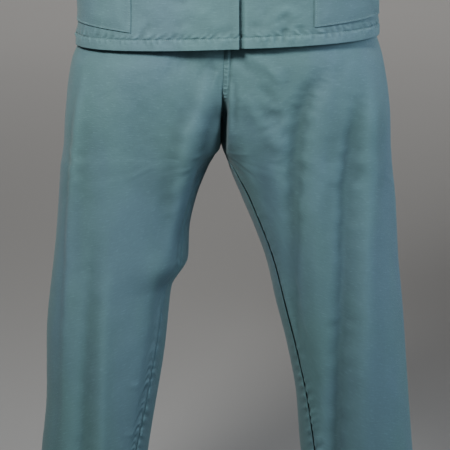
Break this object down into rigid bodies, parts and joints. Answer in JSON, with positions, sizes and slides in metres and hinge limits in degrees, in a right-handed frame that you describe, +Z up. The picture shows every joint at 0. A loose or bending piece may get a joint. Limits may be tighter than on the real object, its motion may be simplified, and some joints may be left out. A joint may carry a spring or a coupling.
{
  "type": "medical scrub suit",
  "caption": "Hollow two-piece scrub suit as worn: front-opening short-sleeved top with hip patch pockets over straight-leg trousers.",
  "frame": {"origin": "between the two neck points of the top, on the line where the wearer's shoulders carry it", "axes": "+Z up, -Y to the wearer's front, +X to the wearer's left; metres"},
  "size_m": [0.7654, 0.3242, 1.47],
  "materials": {
    "top_cloth": "matte plain weave",
    "trouser_cloth": "matte plain weave",
    "button_plastic": "satin"
  },
  "bodies": {
    "root": {"top_front_right": "top_cloth", "top_front_left": "top_cloth", "top_back": "top_cloth", "sleeve_right": "top_cloth", "sleeve_left": "top_cloth", "pocket_right": "top_cloth", "pocket_left": "top_cloth", "trouser_front_right": "trouser_cloth", "trouser_front_left": "trouser_cloth", "trouser_back_right": "trouser_cloth", "trouser_back_left": "trouser_cloth", "waistband": "trouser_cloth", "button_1": "button_plastic", "button_2": "button_plastic", "button_3": "button_plastic", "button_4": "button_plastic"}
  },
  "joints": []
}
